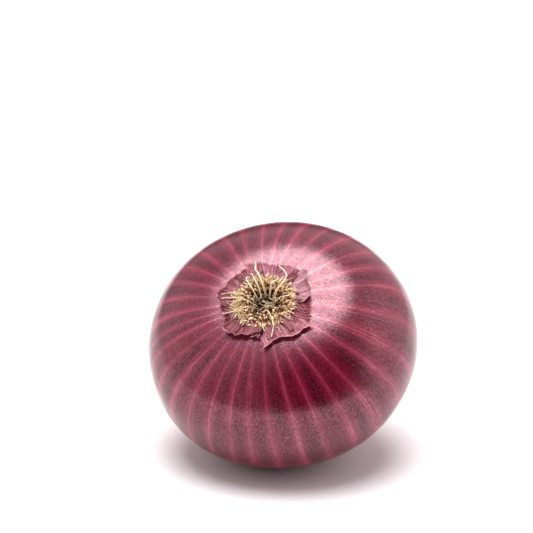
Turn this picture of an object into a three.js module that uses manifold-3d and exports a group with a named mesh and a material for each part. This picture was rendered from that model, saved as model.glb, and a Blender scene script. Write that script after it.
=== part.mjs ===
// A flattened red onion, leaning back on its belly and on the tip of its dried neck.
// Millimetres, +Z up. The origin is the middle of the flat spot under the belly, and the root
// end looks up and towards -Y. Every shape is first made in the onion's own frame, whose
// origin is the centre of the widest ring and whose +Z runs through the root end.

import * as THREE from 'three';
import { mergeVertices } from 'three/addons/utils/BufferGeometryUtils.js';
import Module from 'manifold-3d';

const wasm = await Module();
wasm.setup();

// ---- Bulb ----
const equatorRadius = 40;        // axis to the widest ring
const rootSideHeight = 25;       // widest ring to the root pole
const neckSideHeight = 31;       // widest ring to where the body would close without a neck
const rootSideFullness = 2.45;   // superellipse exponent: 2 is an ellipse, more is squarer
const neckSideFullness = 1.7;    // under 2 the body tapers into the neck
const rootShift = new THREE.Vector2(-1.6, -1.5);  // root pole off the axis: a lopsided bulb

// ---- How it rests ----
const leanAngle = 37;            // degrees from upright to the onion's axis, towards -Y
const flatSpotDepth = 0.6;       // how far the belly is flattened where it rests
const tipFlatDepth = 0.25;       // the same under the tip of the neck

// ---- Dried neck ----
const neckWaistRadius = 4.3;
const neckTipRadius = 5.3;
const neckFilletReach = 16;      // how much wider than the neck the body is where they blend

// ---- Root end ----
const plateRadius = 6.2;         // the corky disc that the roots grow from
const dishClearance = 0.4;       // round the plate, at the bottom of the dish that holds it
const dishFlankWidth = 2;        // from the dish's flat bottom out to its rim
const dishDepth = 1.4;
const plateShoulderHeight = 1.9; // above the dish's floor, where the root stubs stand
const plateHollowHeight = 0.9;   // above the dish's floor, at the sunken dark middle
const stubRadius = 0.55;
const strandRadius = 0.42;
const strandRise = 3.4;          // how high the long roots pass over the plate's shoulder
const pieceGap = 0.32;           // clear space between pieces that touch on the real onion

// ---- Torn papery skin round the root end ----
const flapClearance = 1;         // from the plate's edge to the inner edge of the scraps
const flapThickness = 0.32;

// ---- Fineness of the faceted surfaces ----
const bulbSides = 60;
const bodyRings = 15;            // on each side of the widest ring
const neckRings = 5;

const skinMaterial = new THREE.MeshStandardMaterial({ color: 0x7d1a3c, roughness: 0.32, metalness: 0 });
const flapMaterial = new THREE.MeshStandardMaterial({ color: 0xa86c80, roughness: 0.45, metalness: 0 });
const plateMaterial = new THREE.MeshStandardMaterial({ color: 0x8a6338, roughness: 0.9, metalness: 0 });
const rootMaterial = new THREE.MeshStandardMaterial({ color: 0xe6cda0, roughness: 0.8, metalness: 0 });

const { lerp, smoothstep, degToRad } = THREE.MathUtils;

const dishFloorRadius = plateRadius + dishClearance;
const dishRimRadius = dishFloorRadius + dishFlankWidth;
const flapInnerRadius = plateRadius + flapClearance;

// Height of the root side above the widest ring, at a distance from the axis, without the dish.
function domeHeight(radius) {
  const share = Math.min(radius / equatorRadius, 1);
  return rootSideHeight * (1 - share ** rootSideFullness) ** (1 / rootSideFullness);
}

// The same with the shallow dish round the root pole.
function rootSurface(radius) {
  return domeHeight(radius) - dishDepth * (1 - smoothstep(radius, dishFloorRadius, dishRimRadius));
}

// The larger of two radii, with a hollow curve where they are nearly the same. Past its end the
// body counts as having a negative radius, so that the curve fades out along the neck.
function filleted(bodyRadius, neckRadius) {
  const nearness = Math.max(neckFilletReach - Math.abs(bodyRadius - neckRadius), 0) / neckFilletReach;
  return Math.max(bodyRadius, neckRadius) + (nearness ** 2 * neckFilletReach) / 4;
}

// Moves the root end sideways by rootShift, fading to nothing at the widest ring.
function lopsided(geometry) {
  const position = geometry.attributes.position;
  for (let i = 0; i < position.count; i += 1) {
    if (position.getZ(i) > 0) {
      const radius = Math.hypot(position.getX(i), position.getY(i));
      const share = (domeHeight(radius) / rootSideHeight) ** 2;
      position.setX(i, position.getX(i) + rootShift.x * share);
      position.setY(i, position.getY(i) + rootShift.y * share);
    }
  }
  return geometry;
}

// A body of revolution about +Z from [radius, height] points, lowest first.
function turned(profile, sides) {
  const points = profile.map(([radius, height]) => new THREE.Vector2(radius, height));
  return new THREE.LatheGeometry(points, sides).rotateX(Math.PI / 2);
}

// Outline of the body and neck, from the neck's tip up to the root pole.
function bulbProfile(neckTipZ) {
  const profile = [[0, neckTipZ]];
  const bodyEndZ = -neckSideHeight;
  for (let i = 0; i <= neckRings; i += 1) {
    const share = i / neckRings;
    const height = lerp(neckTipZ, bodyEndZ, share);
    const neckRadius = lerp(neckTipRadius, neckWaistRadius, share);
    profile.push([filleted(height - bodyEndZ, neckRadius), height]);
  }
  for (let i = 1; i < bodyRings; i += 1) {
    const angle = (1 - i / bodyRings) * (Math.PI / 2);
    const bodyRadius = equatorRadius * Math.cos(angle) ** (2 / neckSideFullness);
    const height = -neckSideHeight * Math.sin(angle) ** (2 / neckSideFullness);
    profile.push([filleted(bodyRadius, neckWaistRadius), height]);
  }
  profile.push([equatorRadius, 0]);
  for (let i = 1; i < bodyRings; i += 1) {
    const angle = (i / bodyRings) * (Math.PI / 2);
    const radius = equatorRadius * Math.cos(angle) ** (2 / rootSideFullness);
    if (radius > dishRimRadius) {
      profile.push([radius, rootSurface(radius)]);
    }
  }
  const dishSteps = 3;
  for (let i = 0; i <= dishSteps; i += 1) {
    const radius = lerp(dishRimRadius, dishFloorRadius, i / dishSteps);
    profile.push([radius, rootSurface(radius)]);
  }
  profile.push([0, rootSurface(0)]);
  return profile;
}

// Turns the onion's own frame into the row's frame, leaving the centre at the origin.
const leaning = new THREE.Matrix4().makeRotationX(degToRad(leanAngle));

// The lowest point of the leaning body, measured from the centre of the widest ring.
function lowestPoint() {
  const body = turned(bulbProfile(-neckSideHeight), 4 * bulbSides).applyMatrix4(leaning);
  const { position } = body.attributes;
  const lowest = new THREE.Vector3(0, 0, Infinity);
  const point = new THREE.Vector3();
  for (let i = 0; i < position.count; i += 1) {
    point.fromBufferAttribute(position, i);
    if (point.z < lowest.z) {
      lowest.copy(point);
    }
  }
  return lowest;
}

const belly = lowestPoint();
const centre = new THREE.Vector3(0, -belly.y, -belly.z - flatSpotDepth);
const inRow = new THREE.Matrix4().makeTranslation(centre).multiply(leaning);
const neckTipHeight = (centre.z + tipFlatDepth - neckTipRadius * Math.sin(degToRad(leanAngle)))
  / Math.cos(degToRad(leanAngle));

// A closed geometry as a solid that can be joined and cut.
function solidOf(geometry) {
  const bare = new THREE.BufferGeometry();
  bare.setAttribute('position', geometry.attributes.position.clone());
  if (geometry.index) {
    bare.setIndex(geometry.index.clone());
  }
  const merged = mergeVertices(bare, 1e-4);
  const corners = merged.index.array;
  const triangles = [];
  for (let i = 0; i < corners.length; i += 3) {
    const [a, b, c] = corners.slice(i, i + 3);
    if (a !== b && b !== c && c !== a) {
      triangles.push(a, b, c);
    }
  }
  return new wasm.Manifold(new wasm.Mesh({
    numProp: 3,
    vertProperties: new Float32Array(merged.attributes.position.array),
    triVerts: new Uint32Array(triangles),
  }));
}

function geometryOf(solid) {
  const mesh = solid.getMesh();
  const geometry = new THREE.BufferGeometry();
  geometry.setAttribute('position', new THREE.BufferAttribute(new Float32Array(mesh.vertProperties), 3));
  geometry.setIndex(new THREE.BufferAttribute(new Uint32Array(mesh.triVerts), 1));
  geometry.computeVertexNormals();
  return geometry;
}

// Body and dried neck in one skin, flattened where they meet the ground.
function makeBulb() {
  const grown = lopsided(turned(bulbProfile(-neckTipHeight), bulbSides)).applyMatrix4(inRow);
  const groundSize = 8 * equatorRadius;
  const ground = new THREE.BoxGeometry(groundSize, groundSize, groundSize).translate(0, 0, -groundSize / 2);
  return geometryOf(solidOf(grown).subtract(solidOf(ground)));
}

// A short blunt root stub that starts inside the plate and leans outwards.
function makeStub(azimuth, footRadius, footHeight, tilt, length) {
  const sides = 6;
  return new THREE.CylinderGeometry(0.75 * stubRadius, stubRadius, length, sides)
    .rotateX(Math.PI / 2)
    .translate(0, 0, length / 2)
    .rotateY(tilt)
    .translate(footRadius, 0, footHeight)
    .rotateZ(azimuth);
}

// The corky disc that the roots grow from, with its rings of dried stubs.
function makeBasalPlate() {
  const floor = rootSurface(0) + pieceGap;
  const plate = turned([
    [0, floor],
    [plateRadius - 0.6, floor],
    [plateRadius, floor + 0.6],
    [0.8 * plateRadius, floor + plateShoulderHeight],
    [0.6 * plateRadius, floor + plateShoulderHeight],
    [0.4 * plateRadius, floor + plateHollowHeight],
    [0, floor + plateHollowHeight],
  ], 36);
  let joined = solidOf(plate);
  const rings = [
    { count: 23, footRadius: 0.72 * plateRadius, tilt: 64, length: 4.3 },
    { count: 17, footRadius: 0.66 * plateRadius, tilt: 38, length: 2.7 },
  ];
  rings.forEach(({ count, footRadius, tilt, length }, ring) => {
    for (let i = 0; i < count; i += 1) {
      const wobble = Math.sin(5.3 * i + 2 * ring);
      const azimuth = ((i + 0.5 * ring) / count) * 2 * Math.PI + 0.05 * wobble;
      const stub = makeStub(
        azimuth,
        footRadius,
        floor + plateShoulderHeight - stubRadius,
        degToRad(tilt + 4 * wobble),
        length * (1 + 0.12 * Math.cos(3.1 * i)),
      );
      joined = joined.add(solidOf(stub));
    }
  });
  return lopsided(geometryOf(joined));
}

// A thin closed sheet from two functions that give its under and upper surface.
function sheet(columns, rows, under, over) {
  const positions = [];
  for (const surface of [under, over]) {
    for (let column = 0; column <= columns; column += 1) {
      for (let row = 0; row <= rows; row += 1) {
        positions.push(...surface(column / columns, row / rows));
      }
    }
  }
  const perColumn = rows + 1;
  const perSide = (columns + 1) * perColumn;
  const at = (side, column, row) => side * perSide + column * perColumn + row;
  const index = [];
  const quad = (a, b, c, d) => index.push(a, b, c, a, c, d);
  for (let c = 0; c < columns; c += 1) {
    for (let r = 0; r < rows; r += 1) {
      quad(at(1, c, r), at(1, c, r + 1), at(1, c + 1, r + 1), at(1, c + 1, r));
      quad(at(0, c, r), at(0, c + 1, r), at(0, c + 1, r + 1), at(0, c, r + 1));
    }
    quad(at(0, c, 0), at(1, c, 0), at(1, c + 1, 0), at(0, c + 1, 0));
    quad(at(0, c + 1, rows), at(1, c + 1, rows), at(1, c, rows), at(0, c, rows));
  }
  for (let r = 0; r < rows; r += 1) {
    quad(at(0, 0, r + 1), at(1, 0, r + 1), at(1, 0, r), at(0, 0, r));
    quad(at(0, columns, r), at(1, columns, r), at(1, columns, r + 1), at(0, columns, r + 1));
  }
  const geometry = new THREE.BufferGeometry();
  geometry.setAttribute('position', new THREE.Float32BufferAttribute(positions, 3));
  geometry.setIndex(index);
  geometry.computeVertexNormals();
  return geometry;
}

// The torn scraps, anticlockwise from +X: start and end azimuth in degrees, how far each torn
// edge reaches from the root centre at even steps between them, and how far the rim lifts.
const flaps = [
  { from: 7, to: 37, reach: [12.8, 13.9, 14.3, 14.1, 14.3], rimLift: 1.3 },
  { from: 39, to: 55, reach: [14.6, 15.8, 15.6], rimLift: 0.6 },
  { from: 57, to: 79.5, reach: [14.2, 14.2, 13.2], rimLift: 0.5 },
  { from: 81.5, to: 104, reach: [13.1, 13, 13.9], rimLift: 0.4 },
  { from: 106, to: 124, reach: [14.3, 14.2, 15], rimLift: 0.5 },
  { from: 126, to: 165, reach: [13.4, 12.9, 13.6, 13.1], rimLift: 0.6 },
  { from: 167, to: 192, reach: [13.6, 14.6, 13.9, 12.8], rimLift: 0.7 },
  { from: 194, to: 222, reach: [13, 12.4, 13.4], rimLift: 0.5 },
  { from: 224, to: 277, reach: [14.7, 14.3, 12.9, 11.6, 10.2], rimLift: 1.1 },
  { from: 279, to: 338, reach: [15.6, 13.7, 13.4, 14.9, 15, 16.1], rimLift: 0.9 },
  { from: 340, to: 365, reach: [14.4, 14, 13.1], rimLift: 0.5 },
];

function makeFlap({ from, to, reach, rimLift }) {
  const spans = reach.length - 1;
  const surface = (lift) => (across, outward) => {
    const along = across * spans;
    const span = Math.min(Math.floor(along), spans - 1);
    const edge = lerp(reach[span], reach[span + 1], along - span);
    const azimuth = degToRad(lerp(from, to, across));
    const radius = lerp(flapInnerRadius, edge, outward);
    const seat = rootSurface(Math.max(radius, dishRimRadius));
    const height = seat + pieceGap + rimLift * outward ** 2 + lift;
    return [radius * Math.cos(azimuth), radius * Math.sin(azimuth), height];
  };
  return lopsided(sheet(2 * spans, 5, surface(0), surface(flapThickness)));
}

// The long dried roots: [azimuth in degrees, distance from the root centre] along each one.
const strands = [
  [[24, 2.3], [40, 4.6], [49, 7.4], [57, 9.6], [67, 10.6], [80, 11.8]],
  [[92, 2.3], [105, 5.2], [112, 8.4], [114, 11], [112, 13.8]],
  [[124, 2.3], [122, 4.8], [123, 7.2], [124, 9.4]],
  [[158, 2.3], [146, 4.6], [140, 7.2], [136, 8.6], [131, 7.8]],
  [[186, 2.3], [179, 5.4], [176, 8.6], [176.5, 11], [178.5, 12.8]],
  [[214, 2.3], [196, 5.2], [188, 8.6], [185, 11], [184.5, 12.6]],
  [[242, 2.3], [227, 5.2], [219, 8], [214, 10.4], [208, 12.6]],
  [[288, 2.3], [297, 5.2], [299, 8.4], [296, 10.6], [290, 12.8]],
  [[350, 2.3], [2, 4.8], [10, 7.6], [14, 9]],
  [[62, 2], [70, 4.6], [66, 7]],
];

// A long root rises over the stubs and then comes down towards the papery skin.
function strandCurve(stations) {
  const plateFloor = rootSurface(0) + pieceGap;
  const startHeight = plateFloor + plateHollowHeight + pieceGap + strandRadius;
  const crestHeight = plateFloor + plateShoulderHeight + strandRise;
  const landingHeight = flapThickness + Math.max(...flaps.map(({ rimLift }) => rimLift)) + 2 * pieceGap;
  const points = stations.map(([azimuth, radius], i) => {
    const aloft = i === 0 ? startHeight : crestHeight;
    const fall = smoothstep(radius, 1.4 * plateRadius, 2.2 * plateRadius);
    const landed = domeHeight(radius) + landingHeight + strandRadius;
    const turn = degToRad(azimuth);
    return new THREE.Vector3(radius * Math.cos(turn), radius * Math.sin(turn), lerp(aloft, landed, fall));
  });
  return new THREE.CatmullRomCurve3(points);
}

function makeStrand(stations) {
  const sides = 8;
  const section = new THREE.Shape();
  for (let i = 0; i < sides; i += 1) {
    const turn = (i / sides) * 2 * Math.PI;
    const corner = [strandRadius * Math.cos(turn), strandRadius * Math.sin(turn)];
    if (i === 0) {
      section.moveTo(...corner);
    } else {
      section.lineTo(...corner);
    }
  }
  section.closePath();
  return lopsided(new THREE.ExtrudeGeometry(section, {
    steps: 3 * (stations.length - 1),
    extrudePath: strandCurve(stations),
    bevelEnabled: false,
  }));
}

function named(name, geometry, material) {
  const mesh = new THREE.Mesh(geometry, material);
  mesh.name = name;
  return mesh;
}

const rootEnd = new THREE.Group();
rootEnd.applyMatrix4(inRow);
rootEnd.add(named('basal_plate', makeBasalPlate(), plateMaterial));
flaps.forEach((flap, i) => {
  rootEnd.add(named(`papery_flap_${i + 1}`, makeFlap(flap), flapMaterial));
});
strands.forEach((stations, i) => {
  rootEnd.add(named(`root_strand_${i + 1}`, makeStrand(stations), rootMaterial));
});

const onion = new THREE.Group();
onion.add(named('bulb', makeBulb(), skinMaterial));
onion.add(rootEnd);

export default onion;
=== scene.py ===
"""A flattened red onion that leans back on its belly and on the tip of its dried neck.

Sizes are in metres. Shapes are made in the onion's own frame, whose origin is the centre of the
widest ring and whose +Z runs through the root end, and are then turned and moved into the row's
frame. Azimuths turn anticlockwise round the root end, from the row's +X.
"""

import logging
import math
import random
from dataclasses import dataclass
from enum import Enum
from typing import Callable, Sequence

import bpy
import numpy as np
from mathutils import Matrix, Vector


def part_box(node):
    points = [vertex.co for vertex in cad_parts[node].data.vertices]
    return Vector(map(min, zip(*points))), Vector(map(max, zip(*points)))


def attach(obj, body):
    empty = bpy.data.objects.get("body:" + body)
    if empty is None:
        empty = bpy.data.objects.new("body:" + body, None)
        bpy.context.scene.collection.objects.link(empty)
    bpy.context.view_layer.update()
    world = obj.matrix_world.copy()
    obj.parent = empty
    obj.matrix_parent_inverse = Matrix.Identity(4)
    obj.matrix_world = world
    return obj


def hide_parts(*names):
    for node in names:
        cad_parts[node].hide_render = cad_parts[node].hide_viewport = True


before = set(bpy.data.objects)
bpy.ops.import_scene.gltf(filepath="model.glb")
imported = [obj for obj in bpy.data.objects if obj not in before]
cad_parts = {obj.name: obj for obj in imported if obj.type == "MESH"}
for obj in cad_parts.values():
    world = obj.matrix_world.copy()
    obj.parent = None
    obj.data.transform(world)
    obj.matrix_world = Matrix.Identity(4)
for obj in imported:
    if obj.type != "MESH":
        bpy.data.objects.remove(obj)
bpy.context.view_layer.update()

MM = 0.001
BODY = "root"
Points = np.ndarray
Piece = bpy.types.Object
log = logging.getLogger("onion")


class Slot(Enum):
    """The record's material slots."""

    SKIN = "onion_skin"
    PAPER = "papery_skin"
    PLATE = "basal_plate"
    ROOT = "dried_root"


class MapName(Enum):
    """UV maps that carry a pattern along a surface."""

    SKIN = "skin_map"
    FLAP = "flap_map"
    ROOT = "root_map"


class Tone(Enum):
    """The papers that the torn skin round the roots comes in."""

    PLAIN = "papery_skin_plain"
    PALE = "papery_skin_pale"
    STREAKED = "papery_skin_streaked"
    MAUVE = "papery_skin_mauve"
    WINE = "papery_skin_wine"


# ---------------------------------------------------------------- form and posture


def blend_in(value: Points | float, low: float, high: float) -> Points:
    """Ease from 0 to 1 as a value goes from low to high.

    Args:
        value: the value or values to ease.
        low: where the result is 0.
        high: where the result is 1.

    Returns:
        The eased share, of the same shape as value.
    """
    share = np.clip((np.asarray(value, float) - low) / (high - low), 0.0, 1.0)
    return share * share * (3.0 - 2.0 * share)


def ripple(value: Points, seed: int, octaves: int = 3) -> Points:
    """Smooth irregular waves, about -1 to 1, with a wavelength near 1.

    Args:
        value: where on the wave.
        seed: picks the wave.
        octaves: how many ever finer waves are added.

    Returns:
        The height of the wave at each value.
    """
    dice = random.Random(seed)
    total = np.zeros_like(np.asarray(value, float))
    for octave in range(octaves):
        for _ in range(2):
            pace = 2.0 * math.pi * (1.9 ** octave) * dice.uniform(0.7, 1.3)
            total += math.pow(0.55, octave) * np.sin(pace * value + dice.uniform(0.0, 6.28))
    return total / 2.2


@dataclass(frozen=True)
class BulbForm:
    """Outline of the body, its root dish and its dried neck."""

    equator_radius: float
    root_side_height: float = 25.0 * MM
    neck_side_height: float = 31.0 * MM
    root_side_fullness: float = 2.45
    neck_side_fullness: float = 1.7
    root_shift: tuple[float, float] = (-1.6 * MM, -1.5 * MM)
    dish_floor_radius: float = 6.6 * MM
    dish_rim_radius: float = 8.6 * MM
    dish_depth: float = 1.4 * MM
    neck_waist_radius: float = 4.3 * MM
    neck_tip_radius: float = 5.3 * MM
    neck_fillet_reach: float = 16.0 * MM

    def dome_height(self, radius: Points) -> Points:
        """Height of the root side at a distance from the axis, without the dish."""
        share = np.clip(np.asarray(radius, float) / self.equator_radius, 0.0, 1.0)
        fullness = self.root_side_fullness
        return self.root_side_height * (1.0 - share ** fullness) ** (1.0 / fullness)

    def root_surface(self, radius: Points) -> Points:
        """Height of the root side with its shallow dish."""
        sunk = 1.0 - blend_in(radius, self.dish_floor_radius, self.dish_rim_radius)
        return self.dome_height(radius) - self.dish_depth * sunk

    def filleted(self, body: Points, neck: Points) -> Points:
        """The larger of two radii, with a hollow curve where they are nearly the same.

        Args:
            body: radius of the body, negative beyond its end.
            neck: radius of the neck.

        Returns:
            The blended radius.
        """
        reach = self.neck_fillet_reach
        near = np.maximum(reach - np.abs(body - neck), 0.0) / reach
        return np.maximum(body, neck) + near ** 2 * reach / 4.0

    def _shift(self, radius: Points) -> Points:
        """How much of the root's sideways shift applies at a distance from the axis."""
        return (self.dome_height(radius) / self.root_side_height) ** 2

    def lopsided(self, points: Points) -> Points:
        """Move the root end sideways, fading to nothing at the widest ring."""
        share = np.where(points[:, 2] > 0.0, self._shift(np.hypot(points[:, 0], points[:, 1])), 0.0)
        return points + np.outer(share, (*self.root_shift, 0.0))

    def upright(self, points: Points) -> Points:
        """Undo lopsided(), by trial.

        Args:
            points: points that lopsided() has moved.

        Returns:
            Where they were.
        """
        found = points.copy()
        for _ in range(6):
            share = self._shift(np.hypot(found[:, 0], found[:, 1])) * (points[:, 2] > 0.0)
            found = points - np.outer(share, (*self.root_shift, 0.0))
        return found

    def outline(self, steps: int = 400) -> Points:
        """Radius and height from the root pole down to the end of the body.

        Args:
            steps: points on each side of the widest ring.

        Returns:
            An array of radius and height pairs.
        """
        turn = np.linspace(math.pi / 2, 0.0, steps)
        top = 2.0 / self.root_side_fullness
        low = 2.0 / self.neck_side_fullness
        root_side = np.stack([
            self.equator_radius * np.cos(turn) ** top,
            self.root_side_height * np.sin(turn) ** top,
        ], 1)
        neck_side = np.stack([
            self.equator_radius * np.cos(turn) ** low,
            -self.neck_side_height * np.sin(turn) ** low,
        ], 1)[::-1]
        return np.concatenate([root_side, neck_side[1:]])


@dataclass(frozen=True)
class Posture:
    """How the onion leans and where it touches the ground."""

    form: BulbForm
    lean: float = math.radians(37.0)
    setback: float = 6.6 * MM
    flat_spot_depth: float = 0.6 * MM
    tip_flat_depth: float = 0.25 * MM

    def centre(self) -> Vector:
        """The centre of the widest ring, in the row's frame."""
        radius, height = self.form.outline(2000).T
        low = -radius * math.sin(self.lean) + height * math.cos(self.lean)
        return Vector((0.0, self.setback, -float(low.min()) - self.flat_spot_depth))

    def matrix(self) -> Matrix:
        """The onion's own frame in the row's frame."""
        return Matrix.Translation(self.centre()) @ Matrix.Rotation(self.lean, 4, "X")

    def to_row(self, points: Points) -> Points:
        """Turn points of the onion's own frame into the row's frame."""
        turn = np.array(self.matrix())
        return points @ turn[:3, :3].T + turn[:3, 3]

    def to_onion(self, points: Points) -> Points:
        """Undo to_row()."""
        turn = np.array(self.matrix())
        return (points - turn[:3, 3]) @ turn[:3, :3]

    def neck_tip_height(self) -> float:
        """Distance from the widest ring to the neck's tip, which just meets the ground."""
        drop = self.form.neck_tip_radius * math.sin(self.lean)
        return (self.centre().z + self.tip_flat_depth - drop) / math.cos(self.lean)


# ---------------------------------------------------------------- mesh tools


def deselect() -> None:
    """Leave nothing selected."""
    if bpy.context.mode != "OBJECT":
        bpy.ops.object.mode_set(mode="OBJECT")
    bpy.ops.object.select_all(action="DESELECT")


def take(piece: Piece) -> None:
    """Select one object and make it active.

    Args:
        piece: the object.
    """
    deselect()
    piece.select_set(True)
    bpy.context.view_layer.objects.active = piece


def pick_faces(piece: Piece, wanted: Callable[[bpy.types.MeshPolygon], bool]) -> None:
    """Go into edit mode with only some faces of an object selected.

    Args:
        piece: the object to edit.
        wanted: tells whether a face is to be selected.
    """
    take(piece)
    bpy.ops.object.mode_set(mode="EDIT")
    bpy.ops.mesh.select_mode(type="FACE")
    bpy.ops.mesh.select_all(action="DESELECT")
    bpy.ops.object.mode_set(mode="OBJECT")
    for face in piece.data.polygons:
        face.select = wanted(face)
    bpy.ops.object.mode_set(mode="EDIT")


def newest(name: str) -> Piece:
    """Name the primitive that was just added, and its mesh.

    Args:
        name: the new name.

    Returns:
        The primitive.
    """
    piece = bpy.context.active_object
    piece.name = name
    piece.data.name = name
    return piece


def read_points(piece: Piece) -> Points:
    """The places of an object's vertices."""
    points = np.empty(len(piece.data.vertices) * 3)
    piece.data.vertices.foreach_get("co", points)
    return points.reshape(-1, 3)


def write_points(piece: Piece, points: Points) -> None:
    """Move an object's vertices."""
    piece.data.vertices.foreach_set("co", points.ravel())
    piece.data.update()


def corner_vertices(piece: Piece) -> Points:
    """The vertex at each corner of each face."""
    corners = np.empty(len(piece.data.loops), int)
    piece.data.loops.foreach_get("vertex_index", corners)
    return corners


def write_map(piece: Piece, name: MapName, across: Points, along: Points) -> None:
    """Store a UV map from one value of each kind per corner.

    Args:
        piece: the object that gets the map, in place of any that it has.
        name: the map's name.
        across: first coordinate of each corner.
        along: second coordinate of each corner.
    """
    layers = piece.data.uv_layers
    while layers:
        layers.remove(layers[0])
    layer = layers.new(name=name.value)
    layer.data.foreach_set("uv", np.stack([across, along], 1).astype(np.float32).ravel())


def shade(piece: Piece, degrees: float) -> None:
    """Smooth all edges that are blunter than an angle."""
    take(piece)
    bpy.ops.object.shade_smooth_by_angle(angle=math.radians(degrees))


def thicken(piece: Piece, thickness: float) -> None:
    """Give an open sheet a wall, half of it on each side.

    Args:
        piece: the sheet.
        thickness: the wall's whole thickness.
    """
    take(piece)
    bpy.ops.object.modifier_add(type="SOLIDIFY")
    wall = piece.modifiers[-1]
    wall.thickness = thickness
    wall.offset = 0.0
    bpy.ops.object.modifier_apply(modifier=wall.name)


def twin(piece: Piece, name: str) -> Piece:
    """Copy an object with a mesh of its own.

    Args:
        piece: the object to copy.
        name: the copy's name.

    Returns:
        The copy.
    """
    copy = piece.copy()
    copy.data = piece.data.copy()
    copy.name = name
    copy.data.name = name
    bpy.context.scene.collection.objects.link(copy)
    return copy


def joined(pieces: Sequence[Piece], name: str) -> Piece:
    """Join several objects into the first of them.

    Args:
        pieces: the objects to join.
        name: the name of the result.

    Returns:
        The joined object.
    """
    deselect()
    for piece in pieces:
        piece.select_set(True)
    bpy.context.view_layer.objects.active = pieces[0]
    bpy.ops.object.join()
    return newest(name)


def new_sheet(name: str, columns: int, rows: int) -> tuple[Piece, Points, Points]:
    """Add a grid to be shaped into a sheet.

    Args:
        name: the new object's name.
        columns: faces across it.
        rows: faces along it.

    Returns:
        The grid, and the share of its width and of its length at each vertex.
    """
    deselect()
    bpy.ops.mesh.primitive_grid_add(x_subdivisions=columns, y_subdivisions=rows, size=1.0)
    sheet = newest(name)
    flat = read_points(sheet)
    return sheet, flat[:, 0] + 0.5, flat[:, 1] + 0.5


def smoothed_path(stations: Points, count: int) -> Points:
    """A rounded path through stations, evenly spaced.

    Args:
        stations: the points that the path goes through.
        count: how many points the result has.

    Returns:
        The path's points.
    """
    before = 2 * stations[:1] - stations[1:2]
    after = 2 * stations[-1:] - stations[-2:-1]
    padded = np.concatenate([before, stations, after])
    dense = []
    for i in range(1, len(padded) - 2):
        a, b, c, d = padded[i - 1 : i + 3]
        for share in np.linspace(0.0, 1.0, 12, endpoint=False):
            dense.append(0.5 * (2 * b + (c - a) * share + (2 * a - 5 * b + 4 * c - d) * share ** 2
                                + (3 * b - a - 3 * c + d) * share ** 3))
    dense.append(stations[-1])
    curve = np.array(dense)
    gone = np.concatenate([[0.0], np.cumsum(np.linalg.norm(np.diff(curve, axis=0), axis=1))])
    wanted = np.linspace(0.0, gone[-1], count)
    return np.stack([np.interp(wanted, gone, curve[:, axis]) for axis in range(3)], 1)


class Shoot:
    """A straight blank for roots: rings of vertices from z = 0 to z = 1, with a sunken torn tip."""

    def __init__(self, sides: int, rings: int) -> None:
        """Model the blank once.

        Args:
            sides: corners of its section.
            rings: steps along its length.
        """
        step = 1.0 / rings
        deselect()
        bpy.ops.mesh.primitive_cylinder_add(
            vertices=sides, radius=1.0, depth=step, location=(0, 0, step / 2))
        self.blank = newest(f"root_blank_{sides}_{rings}")
        bpy.ops.object.transform_apply(location=True, rotation=False, scale=False)
        pick_faces(self.blank, lambda face: face.normal.z > 0.9)
        for _ in range(rings - 1):
            bpy.ops.mesh.extrude_region_move(TRANSFORM_OT_translate={"value": (0.0, 0.0, step)})
        bpy.ops.mesh.inset(thickness=0.32)
        bpy.ops.transform.translate(value=(0.0, 0.0, -0.6 * step))
        bpy.ops.object.mode_set(mode="OBJECT")

    def grow(self, name: str, path: Points, girth: Callable[[Points], Points], shade_value: float,
             flatness: float = 1.0) -> Piece:
        """Bend a copy of the blank along a path.

        Args:
            name: the new object's name.
            path: at least two points that the middle follows.
            girth: the radius for each share of the length.
            shade_value: 0 to 1, kept in the map so that no two roots are coloured alike.
            flatness: thickness as a share of width.

        Returns:
            The new object, in the same frame as the path.
        """
        root = twin(self.blank, name)
        straight = read_points(root)
        share = np.clip(straight[:, 2], 0.0, 1.0)
        stations = np.linspace(0.0, 1.0, len(path))
        forward = np.gradient(path, axis=0)
        forward /= np.linalg.norm(forward, axis=1)[:, None]
        side = np.cross(forward[0], (0.3, 0.2, 0.93))
        side /= np.linalg.norm(side)
        sides = []
        for ahead in forward:
            side = side - ahead * (side @ ahead)
            side = side / np.linalg.norm(side)
            sides.append(side)
        across = np.array(sides)
        upward = np.cross(forward, across)

        def at(values: Points) -> Points:
            """Read per-station vectors at each vertex's share."""
            return np.stack([np.interp(share, stations, values[:, axis]) for axis in range(3)], 1)

        radius = girth(share)[:, None]
        section = straight[:, :1] * at(across) + flatness * straight[:, 1:2] * at(upward)
        write_points(root, at(path) + radius * section)
        corners = corner_vertices(root)
        write_map(root, MapName.ROOT, np.full(len(corners), shade_value), share[corners])
        return root

    def discard(self) -> None:
        """Remove the blank."""
        bpy.data.objects.remove(self.blank)


# ---------------------------------------------------------------- finishes


Colour = tuple[float, float, float, float]
Socket = bpy.types.NodeSocket
Number = float | Socket


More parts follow.
